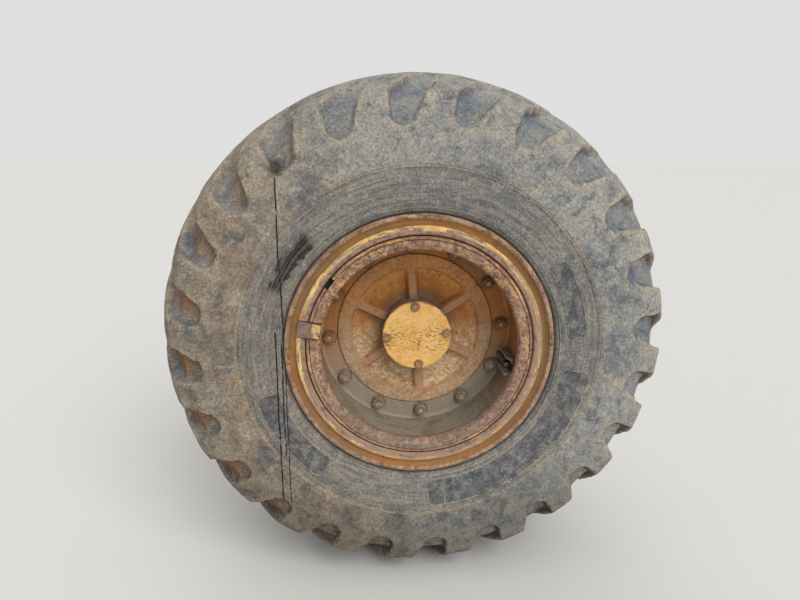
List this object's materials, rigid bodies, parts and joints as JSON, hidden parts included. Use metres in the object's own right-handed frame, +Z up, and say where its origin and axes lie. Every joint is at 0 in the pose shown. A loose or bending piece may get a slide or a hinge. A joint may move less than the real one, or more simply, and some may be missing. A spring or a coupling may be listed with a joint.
{
  "type": "haul truck wheel end",
  "caption": "Worn lug tyre on a rusty multi-piece rim with a ribbed planetary hub, cap, nuts, brake and spindle flange.",
  "frame": {"origin": "centre of the spindle flange's mating face, on the wheel's axis", "axes": "+Y inboard along the wheel's axis, +Z up, +X to the right seen from outboard"},
  "size_m": [1.4659, 0.5655, 1.4658],
  "materials": {
    "rubber": "matte",
    "rim_paint": "matte",
    "hub_paint": "matte",
    "cap_paint": "satin",
    "fasteners": "matte",
    "bare_iron": "matte",
    "valve_brass": "satin"
  },
  "bodies": {
    "axle_end": {"spindle": "hub_paint", "caliper_bracket": "hub_paint", "brake_caliper": "hub_paint", "caliper_bolts": "fasteners"},
    "wheel": {"tyre": "rubber", "outer_side_flange": "rim_paint", "inner_side_flange": "rim_paint", "bead_seat_band": "rim_paint", "lock_ring": "rim_paint", "driver_key": "bare_iron", "rim_base": "rim_paint", "wheel_disc": "rim_paint", "wheel_nuts": "fasteners", "valve_guard": "rim_paint", "valve_stem": "valve_brass", "planetary_housing": "hub_paint", "hub_cap": "cap_paint", "cap_bolts": "fasteners", "hub": "hub_paint", "brake_disc": "bare_iron", "disc_bolts": "fasteners"}
  },
  "joints": [
    {"name": "wheel_spin", "type": "hinge", "parent": "axle_end", "child": "wheel", "pos_m": [0, 0, 0], "axis": [0, 1, 0], "continuous": true}
  ]
}
